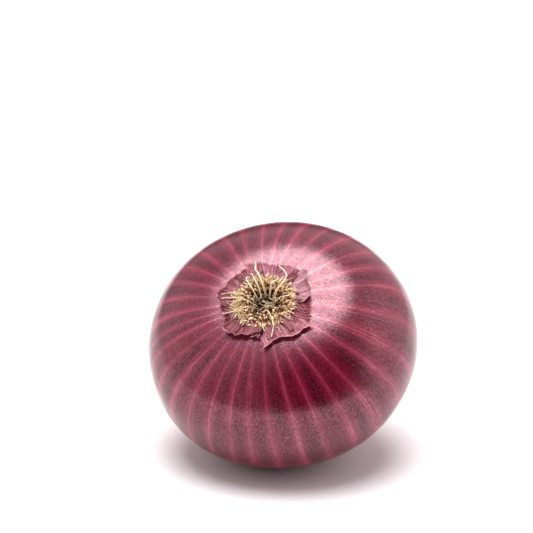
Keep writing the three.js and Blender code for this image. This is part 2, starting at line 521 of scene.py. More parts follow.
class Sketch:
    """The nodes of a material or a world, added and joined in one call each."""

    def __init__(self, owner: bpy.types.Material | bpy.types.World) -> None:
        """Start with an empty tree.

        Args:
            owner: the material or world that the nodes are for.
        """
        owner.use_nodes = True
        self.owner = owner
        self.tree = owner.node_tree
        self.tree.nodes.clear()

    def add(self, kind: str, settings: dict | None = None, **inputs) -> bpy.types.Node:
        """Add a node.

        Args:
            kind: the node's class name without the ShaderNode in front.
            settings: the node's own properties.
            **inputs: a value or a socket for each input, underscores standing for spaces.

        Returns:
            The node.
        """
        node = self.tree.nodes.new("ShaderNode" + kind)
        for key, value in (settings or {}).items():
            setattr(node, key, value)
        for key, value in inputs.items():
            self.feed(node.inputs[key.replace("_", " ")], value)
        return node

    def feed(self, socket: Socket, value: Number | Colour | Vector) -> None:
        """Join a socket to another, or set its value.

        Args:
            socket: the input.
            value: the socket that it is joined to, or the value.
        """
        if isinstance(value, Socket):
            self.tree.links.new(value, socket)
        else:
            socket.default_value = value

    def math(self, operation: str, first: Number, second: Number = 0.0, third: Number = 0.0) -> Socket:
        """Reckon with up to three numbers or sockets.

        Args:
            operation: what is done with them.
            first: the first of them.
            second: the second of them.
            third: the third of them.

        Returns:
            The result.
        """
        node = self.add("Math", {"operation": operation})
        for socket, value in zip(node.inputs, (first, second, third)):
            self.feed(socket, value)
        return node.outputs[0]

    def times(self, first: Number, second: Number) -> Socket:
        """Multiply two numbers or sockets."""
        return self.math("MULTIPLY", first, second)

    def scaled(self, value: Number, factor: Number, offset: Number) -> Socket:
        """Multiply a socket by a factor and add an offset."""
        return self.math("MULTIPLY_ADD", value, factor, offset)

    def fading(self, value: Number, low: float, high: float) -> Socket:
        """Ease from 1 to 0 as a value goes from low to high."""
        return self.math("SUBTRACT", 1.0, self.ramp(value, low, high))

    def channels(self, colour: Socket) -> list[Socket]:
        """Split a colour socket into three numbers."""
        return list(self.add("SeparateColor", None, Color=colour).outputs)

    def ramp(self, value: Number, low: float, high: float, start: float = 0.0, end: float = 1.0) -> Socket:
        """Ease from one number to another as a value rises.

        Args:
            value: the value.
            low: where the easing begins.
            high: where it ends.
            start: the result up to low.
            end: the result from high on.

        Returns:
            The result.
        """
        ends = {"From_Min": low, "From_Max": high, "To_Min": start, "To_Max": end}
        node = self.add("MapRange", {"interpolation_type": "SMOOTHSTEP"}, Value=value, **ends)
        return node.outputs["Result"]

    def mix(self, share: Number, first: Socket | Colour, second: Socket | Colour) -> Socket:
        """Blend two colours.

        Args:
            share: how much of the second colour there is, 0 to 1.
            first: the first colour.
            second: the second colour.

        Returns:
            The blended colour.
        """
        node = self.add("Mix", {"data_type": "RGBA"})
        self.feed(node.inputs[0], share)
        self.feed(node.inputs[6], first)
        self.feed(node.inputs[7], second)
        return node.outputs[2]

    def place(self, x: Number, y: Number, z: Number = 0.0) -> Socket:
        """Make a point of three numbers or sockets."""
        return self.add("CombineXYZ", None, X=x, Y=y, Z=z).outputs[0]

    def noise(self, at: Socket, scale: float, detail: float = 2.0, roughness: float = 0.5) -> Socket:
        """Noise of 0 to 1 at a point."""
        inputs = {"Vector": at, "Scale": scale, "Detail": detail, "Roughness": roughness}
        return self.add("TexNoise", None, **inputs).outputs[0]

    def streaks(self, across: Number, along: Number, pace: float, stretch: float, detail: float = 2.0,
                roughness: float = 0.5, depth: float = 0.0) -> Socket:
        """Noise drawn out along a surface.

        Args:
            across: first coordinate of the surface.
            along: second coordinate of the surface.
            pace: how fast it changes across.
            stretch: how fast it changes along.
            detail: how many finer layers it has.
            roughness: how strong the finer layers are.
            depth: picks another sheet of the same noise.

        Returns:
            The noise, 0 to 1.
        """
        at = self.place(self.times(across, pace), self.times(along, stretch), depth)
        return self.noise(at, 1.0, detail, roughness)

    def uv(self, name: MapName) -> tuple[Socket, Socket]:
        """The two coordinates of a UV map."""
        node = self.add("UVMap", {"uv_map": name.value})
        split = self.add("SeparateXYZ", None, Vector=node.outputs[0])
        return split.outputs[0], split.outputs[1]

    def solid(self) -> Socket:
        """The object's own coordinates."""
        return self.add("TexCoord").outputs["Object"]

    def bump(self, height: Socket, distance: float, below: Socket | None = None) -> Socket:
        """Raise the surface by a height of 0 to 1.

        Args:
            height: the socket that gives the height.
            distance: what a height of 1 is, in metres.
            below: a coarser bump that this one is added to.

        Returns:
            The changed normal.
        """
        node = self.add("Bump", None, Height=height, Distance=distance)
        if below is not None:
            self.feed(node.inputs["Normal"], below)
        return node.outputs[0]

    def finish(self, **inputs) -> bpy.types.Material:
        """Add the surface shader and the output.

        Args:
            **inputs: the shader's inputs, underscores standing for spaces.

        Returns:
            The finished material.
        """
        shader = self.add("BsdfPrincipled", None, **inputs)
        self.add("OutputMaterial", None, Surface=shader.outputs[0])
        return self.owner


@dataclass(frozen=True)
class Vein:
    """The sockets that say where the skin's veins are and how strong."""

    core: Socket
    glow: Socket


@dataclass(frozen=True)
class SkinFinish:
    """Glossy wine-red skin with pink veins that run from root to neck.

    Its map counts veins across and gives the distance from the root's centre along; the reckoning
    below is in veins and in millimetres.
    """

    veins_per_unit: float
    reach_per_unit: float
    deep: Colour = (0.041, 0.0002, 0.006, 1.0)
    mauve: Colour = (0.088, 0.002, 0.011, 1.0)
    halo: Colour = (0.212, 0.006, 0.028, 1.0)
    vein: Colour = (0.400, 0.060, 0.125, 1.0)
    flush: Colour = (0.200, 0.024, 0.060, 1.0)
    # Pale pink of the dust flecks and of the painted glints in the skin's cell grain.
    speck_and_glint: Colour = (0.300, 0.030, 0.080, 1.0)
    husk: Colour = (0.330, 0.130, 0.085, 1.0)
    straw: Colour = (0.550, 0.300, 0.200, 1.0)
    satin: Colour = (1.0, 0.55, 0.63, 1.0)
    refraction: float = 1.7
    cell_scale: float = 3400.0
    pebble_scale: float = 2700.0
    fleck_scale: float = 150.0
    fleck_rarity: float = 0.94
    collar_edge: float = 12.0
    husk_start: float = 86.0
    husk_end: float = 108.0
    vein_height: float = 0.010 * MM
    line_height: float = 0.022 * MM
    pebble_height: float = 0.012 * MM

    def make(self) -> bpy.types.Material:
        """Build the material."""
        s = Sketch(bpy.data.materials.new("wine_red_skin"))
        across, along = s.uv(MapName.SKIN)
        across = s.times(across, self.veins_per_unit)
        along = s.times(along, self.reach_per_unit / MM)
        solid = s.solid()
        lines = s.streaks(across, along, 24.0, 0.05, 3.0, 0.6)
        streak = s.ramp(lines, 0.34, 0.66)
        vein = self._veins(s, across, along, streak)
        pebbles = s.noise(solid, self.pebble_scale, 2.0, 0.8)
        cells = s.add("TexVoronoi", None, Vector=solid, Scale=self.cell_scale)
        glint = s.channels(cells.outputs["Color"])[0]
        dry = s.ramp(s.scaled(lines, 8.0, along), self.husk_start, self.husk_end)

        colour = self._flesh(s, across, along, lines, vein)
        # Painted glints: the random cells lighten the veins and, cubed, the base colour; partly the skin's
        # own cell grain, partly painted sparkle of its gloss.
        colour = s.mix(s.times(vein.core, s.scaled(glint, 0.44, 0.32)), colour, self.vein)
        colour = s.mix(s.times(s.math("POWER", glint, 3.0), 0.24), colour, self.speck_and_glint)
        colour = s.mix(s.times(self._flecks(s, solid), 0.6), colour, self.speck_and_glint)
        colour = s.mix(dry, colour, s.mix(streak, self.husk, self.straw))
        rough = s.math("ADD", s.scaled(glint, 0.05, 0.165), s.times(dry, 0.25))
        normal = s.bump(vein.core, self.vein_height)
        normal = s.bump(lines, self.line_height, normal)
        normal = s.bump(pebbles, self.pebble_height, normal)
        shine = s.scaled(s.math("MAXIMUM", vein.core, s.times(vein.glow, 0.45)), 0.60, 0.61)
        shine = s.times(shine, s.ramp(pebbles, 0.38, 0.62, 0.86, 1.14))
        shine = s.times(shine, s.scaled(glint, 0.92, 0.56))
        shine = s.times(shine, s.ramp(lines, 0.30, 0.70, 0.76, 1.24))
        return s.finish(Base_Color=colour, Roughness=rough, Normal=normal, IOR=self.refraction,
                        Specular_IOR_Level=shine, Specular_Tint=self.satin)

    def _veins(self, s: Sketch, across: Socket, along: Socket, streak: Socket) -> Vein:
        """Draw a soft band with two hairlines on each whole number of the map.

        Args:
            s: the material being made.
            across: veins counted round the onion.
            along: distance from the root's centre.
            streak: fine lines that break the bands up.

        Returns:
            Each vein's body and the reddish glow round it.
        """
        slow = s.streaks(across, along, 0.6, 0.05, 1.0)
        quick = s.streaks(across, along, 1.7, 0.25)
        sway = s.math("ADD", s.scaled(slow, 0.20, -0.10), s.scaled(quick, 0.05, -0.025))
        swayed = s.math("ADD", across, sway)
        number = s.math("ROUND", swayed)
        signed = s.math("SUBTRACT", swayed, number)
        off = s.math("ABSOLUTE", signed)
        own = s.add("TexWhiteNoise", {"noise_dimensions": "1D"}, W=number)
        first, second, third = s.channels(own.outputs["Color"])

        patchy = s.streaks(number, along, 3.7, 0.09)
        strength = s.times(s.ramp(patchy, 0.22, 0.66, 0.30, 1.0), s.scaled(third, 0.45, 0.55))
        width = s.times(s.scaled(first, 0.085, 0.070), s.ramp(along, self.collar_edge, 30.0, 0.60, 1.15))
        band = s.fading(s.math("DIVIDE", off, width), 0.05, 1.40)
        band = s.times(band, s.scaled(streak, 0.62, 0.10))
        widening = s.ramp(along, self.collar_edge, 32.0, 2.2, 1.0)
        hair = self._hairline(s, signed, s.scaled(second, 0.10, -0.05), 0.024, widening)
        twin_hair = self._hairline(s, signed, s.scaled(first, 0.16, -0.08), 0.018, widening)
        hair = s.math("MAXIMUM", hair, s.times(twin_hair, 0.75))
        core = s.times(s.math("MAXIMUM", band, hair), strength)

        glow = s.times(s.fading(off, 0.03, 0.40), s.ramp(patchy, 0.2, 0.7, 0.25, 0.85))
        return Vein(core, s.times(glow, s.scaled(streak, 0.5, 0.6)))

    def _hairline(self, s: Sketch, signed: Socket, centre: Socket, half: float, widening: Socket) -> Socket:
        """Draw one thin line along each vein.

        Args:
            s: the material being made.
            signed: distance from the vein's middle.
            centre: where the line is, as a distance from the vein's middle.
            half: half of its width.
            widening: how many times wider it is.

        Returns:
            The line's strength, 0 to 1.
        """
        away = s.math("ABSOLUTE", s.math("SUBTRACT", signed, centre))
        return s.fading(s.math("DIVIDE", away, widening), 0.2 * half, half)

    def _flesh(self, s: Sketch, across: Socket, along: Socket, lines: Socket, vein: Vein) -> Socket:
        """Mix the ground colour under the veins: clouds, glow, the root's flush and fine lines.

        Args:
            s: the material being made.
            across: veins counted round the onion.
            along: distance from the root's centre.
            lines: the fine lines' noise.
            vein: where the veins are.

        Returns:
            The colour.
        """
        cloud = s.streaks(across, along, 0.9, 0.05, depth=3.0)
        colour = s.mix(s.ramp(cloud, 0.3, 0.7), self.deep, self.mauve)
        colour = s.mix(s.times(vein.glow, 0.80), colour, self.halo)
        colour = s.mix(s.times(s.fading(along, 9.0, 25.0), 0.50), colour, self.flush)
        return s.mix(s.times(s.ramp(lines, 0.56, 0.74), 0.16), colour, self.vein)

    def _flecks(self, s: Sketch, solid: Socket) -> Socket:
        """Scatter a few pale flecks of dust.

        Args:
            s: the material being made.
            solid: the object's own coordinates.

        Returns:
            The flecks' strength, 0 to 1.
        """
        dust = s.add("TexVoronoi", None, Vector=solid, Scale=self.fleck_scale)
        chosen = s.math("GREATER_THAN", s.channels(dust.outputs["Color"])[0], self.fleck_rarity)
        return s.times(s.fading(dust.outputs["Distance"], 0.015, 0.045), chosen)


@dataclass(frozen=True)
class PaperFinish:
    """Thin, dry skin: mauve-pink with radial ribs and pale torn rims."""

    name: str
    body: Colour = (0.340, 0.102, 0.132, 1.0)
    shadow: Colour = (0.170, 0.020, 0.038, 1.0)
    rib: Colour = (0.600, 0.340, 0.370, 1.0)
    rim: Colour = (0.740, 0.500, 0.540, 1.0)
    sheen: Colour = (1.0, 0.75, 0.80, 1.0)
    ribs: float = 16.0
    rib_height: float = 0.045 * MM
    fibre_height: float = 0.020 * MM

    def make(self) -> bpy.types.Material:
        """Build the material."""
        s = Sketch(bpy.data.materials.new(self.name))
        across, along = s.uv(MapName.FLAP)
        solid = s.solid()
        lines = s.streaks(across, along, self.ribs, 0.8, 3.0, 0.65)
        broad = s.noise(s.place(s.times(across, 5.0), along, 7.0), 1.0, 1.0)
        colour = s.mix(s.ramp(lines, 0.25, 0.58), self.shadow, self.body)
        colour = s.mix(s.times(s.ramp(lines, 0.52, 0.72), s.ramp(broad, 0.35, 0.65)), colour, self.rib)
        edge = s.scaled(s.noise(solid, 900.0, 2.0), 0.10, along)
        torn = s.times(s.ramp(edge, 1.0, 1.06), s.ramp(broad, 0.35, 0.65, 0.25, 0.85))
        colour = s.mix(torn, colour, self.rim)
        blotch = s.ramp(s.noise(solid, 700.0, 3.0), 0.62, 0.74)
        colour = s.mix(s.times(blotch, 0.35), colour, self.shadow)
        fibre = s.noise(solid, 4200.0, 2.0, 0.7)
        colour = s.mix(s.times(s.ramp(fibre, 0.5, 0.8), 0.25), colour, self.rib)
        normal = s.bump(lines, self.rib_height)
        normal = s.bump(fibre, self.fibre_height, normal)
        return s.finish(Base_Color=colour, Roughness=s.scaled(fibre, 0.25, 0.25), Normal=normal,
                        Specular_IOR_Level=0.32, Specular_Tint=self.sheen)


@dataclass(frozen=True)
class RootFinish:
    """Dried root: dark brown at the foot, amber further up, cream towards the tip, fibrous all along. The
    dark foot is partly the root's own brown, partly painted shade deep among the stubs.
    """

    name: str
    # Partly the root's own brown, partly painted shade deep among the stubs.
    foot: Colour = (0.090, 0.030, 0.009, 1.0)
    middle: Colour = (0.470, 0.200, 0.055, 1.0)
    tip: Colour = (0.920, 0.745, 0.480, 1.0)
    stain: Colour = (0.190, 0.060, 0.018, 1.0)
    fibre_scale: float = 2600.0
    fibre_height: float = 0.06 * MM
    stain_scale: float = 800.0

    def make(self) -> bpy.types.Material:
        """Build the material."""
        s = Sketch(bpy.data.materials.new(self.name))
        own, along = s.uv(MapName.ROOT)
        solid = s.solid()
        grown = s.math("ADD", along, s.scaled(own, 0.50, -0.25))
        # Darkest at the foot, partly painted shade among the stubs, rising through amber to cream at the
        # tip.
        colour = s.mix(s.ramp(grown, 0.02, 0.42), self.foot, self.middle)
        colour = s.mix(s.ramp(grown, 0.32, 0.90), colour, self.tip)
        fibre = s.noise(solid, self.fibre_scale, 3.0, 0.7)
        colour = s.mix(s.times(s.ramp(fibre, 0.45, 0.7), 0.55), colour, self.middle)
        blot = s.ramp(s.noise(solid, self.stain_scale, 2.0), 0.58, 0.72)
        colour = s.mix(s.times(blot, s.scaled(own, 0.5, 0.15)), colour, self.stain)
        return s.finish(Base_Color=colour, Roughness=0.72, Normal=s.bump(fibre, self.fibre_height))


@dataclass(frozen=True)
class CorkFinish:
    """Near-black tissue of the basal plate, lighter on its raised lumps and darker between them: partly its
    own dark tone, partly painted shade of the hollow among the roots.
    """

    deep: Colour = (0.008, 0.003, 0.002, 1.0)
    lump_top: Colour = (0.070, 0.035, 0.018, 1.0)
    lump_scale: float = 1100.0
    lump_height: float = 0.4 * MM
    pit_scale: float = 1500.0
    pit_height: float = 0.2 * MM

    def make(self) -> bpy.types.Material:
        """Build the material."""
        s = Sketch(bpy.data.materials.new("corky_plate"))
        solid = s.solid()
        lumps = s.noise(solid, self.lump_scale, 4.0, 0.7)
        pits = s.add("TexVoronoi", None, Vector=solid, Scale=self.pit_scale).outputs["Distance"]
        # Near black, darker in the low places between lumps; partly the plate's own tone, partly painted
        # shade of the hollow middle.
        colour = s.mix(s.ramp(lumps, 0.42, 0.72), self.deep, self.lump_top)
        normal = s.bump(lumps, self.lump_height)
        normal = s.bump(pits, self.pit_height, normal)
        return s.finish(Base_Color=colour, Roughness=0.9, Normal=normal)


@dataclass(frozen=True)
class FloorFinish:
    """Plain white studio floor."""

    duller: Colour = (0.84, 0.835, 0.84, 1.0)
    brighter: Colour = (0.87, 0.865, 0.87, 1.0)

    def make(self) -> bpy.types.Material:
        """Build the material."""
        s = Sketch(bpy.data.materials.new("studio_floor"))
        haze = s.noise(s.solid(), 1.5, 1.0)
        tint = s.mix(haze, self.duller, self.brighter)
        return s.finish(Base_Color=tint, Roughness=0.9, Specular_IOR_Level=0.2)


# ---------------------------------------------------------------- the onion's pieces


def settle(piece: Piece, material: bpy.types.Material,
           nodes: Sequence[str] = ()) -> Piece:
    """Give a piece its finish, its body and the CAD nodes that it stands for.

    Args:
        piece: the finished piece.
        material: its only material.
        nodes: the CAD nodes that it replaces.

    Returns:
        The piece.
    """
    piece.data.materials.clear()
    piece.data.materials.append(material)
    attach(piece, BODY)
    if nodes:
        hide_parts(*nodes)
    log.info("%s: %d faces", piece.name, len(piece.data.polygons))
    return piece


@dataclass
class BulbSkin:
    """The body in its outer skin, with the dried neck drawn out of it."""

    posture: Posture
    segments: int = 360
    rings: int = 200
    neck_steps: int = 16
    vein_azimuths: tuple[int, ...] = (
        6, 24, 36, 48, 61, 72, 84, 95, 105, 118, 127, 143, 154, 165, 177, 189,
        198, 206, 217, 228, 239, 250, 260, 269, 279, 290, 300, 312, 323, 338, 350,
    )
    facet_depth: float = 0.10 * MM
    lump_height: float = 0.22 * MM
    pleat_depth: float = 0.13
    veins_per_unit: float = 64.0
    reach_per_unit: float = 0.1

    def vein_at(self, azimuth: Points) -> Points:
        """Count veins round the onion, a whole number on each one.

        Args:
            azimuth: angles in degrees, 0 to 360.

        Returns:
            The count at each angle.
        """
        known = np.array([*self.vein_azimuths, self.vein_azimuths[0] + 360.0])
        turned = np.where(azimuth < known[0], azimuth + 360.0, azimuth)
        return np.interp(turned, known, np.arange(len(known)))

    def _swell(self, skin: Piece) -> None:
        """Bring a ball's rings onto the onion's outline, with faint facets and lumps.

        Args:
            skin: the ball, whose radius is the onion's.
        """
        form = self.posture.form
        ball = read_points(skin)
        rise = np.clip(ball[:, 2] / form.equator_radius, -1.0, 1.0)
        turn = np.arcsin(rise)
        spin = np.arctan2(ball[:, 1], ball[:, 0])
        top = 2.0 / form.root_side_fullness
        low = 2.0 / form.neck_side_fullness
        width = form.equator_radius * np.abs(np.cos(turn)) ** np.where(rise > 0.0, top, low)
        on_axis = width < 0.01 * MM
        width = np.where(on_axis, 0.0, width)
        below = form.filleted(width, form.neck_waist_radius)
        radius = np.where(rise > 0.0, width, np.where(on_axis, 0.0, below))
        dished = form.root_surface(width)
        height = np.where(rise > 0.0, dished, -form.neck_side_height * np.abs(rise) ** low)
        vein = self.vein_at(np.degrees(spin) % 360.0)
        facet = 0.5 - np.abs(vein - np.round(vein))
        waves = (np.sin(2 * spin + 0.7 + 0.6 * rise) + 0.7 * np.sin(3 * spin + 2.1)
                 + 0.5 * np.sin(5 * spin + rise * 3.0))
        bulge = np.abs(np.cos(turn)) ** 0.7 * (self.lump_height * waves / 2.0 - self.facet_depth * facet)
        radius = radius + np.where(on_axis, 0.0, bulge)
        write_points(skin, np.stack([radius * np.cos(spin), radius * np.sin(spin), height], 1))

    def _draw_out_neck(self, skin: Piece) -> None:
        """Extrude the closing disc at the neck's end, step by step, and sink its tip.

        Args:
            skin: the swollen ball.
        """
        form = self.posture.form
        pole = int(np.argmin(read_points(skin)[:, 2]))
        start = -form.neck_side_height
        step = (start + self.posture.neck_tip_height()) / self.neck_steps
        pick_faces(skin, lambda face: pole in face.vertices)
        held = float(form.filleted(0.0, form.neck_waist_radius))
        for i in range(1, self.neck_steps + 1):
            height = start - i * step
            share = i / self.neck_steps
            neck = form.neck_waist_radius + (form.neck_tip_radius - form.neck_waist_radius) * share
            wanted = float(form.filleted(height - start, neck))
            bpy.ops.mesh.extrude_region_move(TRANSFORM_OT_translate={"value": (0.0, 0.0, -step)})
            grow = wanted / held
            bpy.ops.transform.resize(value=(grow, grow, 1.0), center_override=(0.0, 0.0, height))
            held = wanted
        for sink, narrow in ((0.6 * MM, 0.80), (2.0 * MM, 0.72), (1.6 * MM, 0.55)):
            bpy.ops.mesh.extrude_region_move(TRANSFORM_OT_translate={"value": (0.0, 0.0, sink)})
            bpy.ops.transform.resize(value=(narrow, narrow, 1.0), center_override=(0.0, 0.0, 0.0))
        bpy.ops.object.mode_set(mode="OBJECT")

    def _pleat_neck(self, skin: Piece) -> None:
        """Twist the neck's skin into pleats that deepen towards its tip.

        Args:
            skin: the skin with its neck.
        """
        form = self.posture.form
        points = read_points(skin)
        depth = blend_in(-points[:, 2], 0.80 * form.neck_side_height, self.posture.neck_tip_height())
        spin = np.arctan2(points[:, 1], points[:, 0]) + 0.5 * depth
        turns = spin / (2.0 * math.pi)
        pleats = 0.6 * np.sin(9 * spin) + 0.4 * np.sin(14 * spin + 1.3) + 0.5 * ripple(6 * turns % 6.0, 4)
        points[:, :2] *= (1.0 + self.pleat_depth * depth * pleats)[:, None]
        write_points(skin, points)

    def _lean(self, skin: Piece) -> None:
        """Turn the onion into its resting place and cut off what the ground flattens.

        Args:
            skin: the skin, in the onion's own frame.
        """
        points = self.posture.form.lopsided(read_points(skin))
        write_points(skin, self.posture.to_row(points))
        take(skin)
        bpy.ops.object.mode_set(mode="EDIT")
        bpy.ops.mesh.select_all(action="SELECT")
        bpy.ops.mesh.bisect(
            plane_co=(0, 0, 0), plane_no=(0, 0, 1), use_fill=True, clear_inner=True, threshold=1e-6)
        bpy.ops.object.mode_set(mode="OBJECT")

    def _map(self, skin: Piece) -> None:
        """Lay a map on the skin: veins counted across, distance from the root centre along.

        Args:
            skin: the skin, in the row's frame.
        """
        form = self.posture.form
        points = form.upright(self.posture.to_onion(read_points(skin)))
        radius = np.hypot(points[:, 0], points[:, 1])
        outline = form.outline()
        gone = np.concatenate([[0.0], np.cumsum(np.linalg.norm(np.diff(outline, axis=0), axis=1))])
        half = int(np.argmax(outline[:, 0]))
        by_radius = np.interp(radius, outline[: half + 1, 0], gone[: half + 1])
        falling = outline[half:, 1]
        by_height = np.interp(-points[:, 2], -falling, gone[half:])
        past = np.maximum(falling[-1] - points[:, 2], 0.0)
        reach = np.where(points[:, 2] > 0.0, by_radius, by_height + past)
        vein = self.vein_at(np.degrees(np.arctan2(points[:, 1], points[:, 0])) % 360.0)
        corners = corner_vertices(skin)
        across = vein[corners]
        lone = radius[corners] < 0.02 * MM
        count = len(self.vein_azimuths)
        for face in skin.data.polygons:
            if face.loop_total > 4:
                continue
            at = slice(face.loop_start, face.loop_start + face.loop_total)
            held = across[at]
            if held.max() - held.min() > count / 2:
                across[at] = np.where(held < count / 2, held + count, held)
            if lone[at].any():
                across[at] = np.where(lone[at], across[at][~lone[at]].mean(), across[at])
        write_map(skin, MapName.SKIN, across / self.veins_per_unit, reach[corners] / self.reach_per_unit)

    def build(self) -> Piece:
        """Model and dress the skin."""
        deselect()
        bpy.ops.mesh.primitive_uv_sphere_add(
            segments=self.segments, ring_count=self.rings, radius=self.posture.form.equator_radius)
        skin = newest("onion_skin")
        self._swell(skin)
        self._draw_out_neck(skin)
        self._pleat_neck(skin)
        self._lean(skin)
        self._map(skin)
        shade(skin, 50.0)
        finish = SkinFinish(self.veins_per_unit, self.reach_per_unit)
        return settle(skin, finish.make(), ["bulb"])


@dataclass(frozen=True)
class FlapShape:
    """One torn scrap of outer skin beside the roots. Angles are in degrees, lengths in millimetres.

    Attributes:
        start: azimuth of one side.
        end: azimuth of the other side.
        reach: the torn rim's distance from the root centre, at even steps from start to end.
        rim_lift: how far the rim stands off the skin.
        curl: how far its last part rolls up.
        folds: how many folds run outwards, about.
        fold_depth: how deep they are.
        rag: how ragged the rim is.
        hood: how far its inner edge stands off the skin.
        layer: which layer it lies in, above its neighbours or under them.
        tone: its paper.
    """

    start: float
    end: float
    reach: tuple[float, ...]
    rim_lift: float
    curl: float = 0.2
    folds: float = 5.0
    fold_depth: float = 0.22
    rag: float = 0.22
    hood: float = 0.0
    layer: float = 0.0
    tone: Tone = Tone.PLAIN


def make_papers() -> dict[Tone, bpy.types.Material]:
    """Make the paper of each tone."""
    finishes = {
        Tone.PLAIN: PaperFinish(Tone.PLAIN.value),
        Tone.PALE: PaperFinish(
            Tone.PALE.value, body=(0.45, 0.22, 0.25, 1.0), shadow=(0.24, 0.06, 0.09, 1.0),
            rib=(0.74, 0.55, 0.57, 1.0), rim=(0.84, 0.70, 0.71, 1.0), ribs=11.0),
        Tone.STREAKED: PaperFinish(Tone.STREAKED.value, body=(0.34, 0.11, 0.17, 1.0), ribs=26.0),
        Tone.MAUVE: PaperFinish(
            Tone.MAUVE.value, body=(0.250, 0.062, 0.080, 1.0), shadow=(0.100, 0.010, 0.020, 1.0),
            rib=(0.48, 0.23, 0.25, 1.0), rim=(0.56, 0.32, 0.34, 1.0)),
        Tone.WINE: PaperFinish(
            Tone.WINE.value, body=(0.205, 0.031, 0.046, 1.0), shadow=(0.090, 0.004, 0.012, 1.0),
            rib=(0.43, 0.17, 0.20, 1.0), rim=(0.58, 0.33, 0.36, 1.0), ribs=13.0),
    }
    return {tone: finish.make() for tone, finish in finishes.items()}


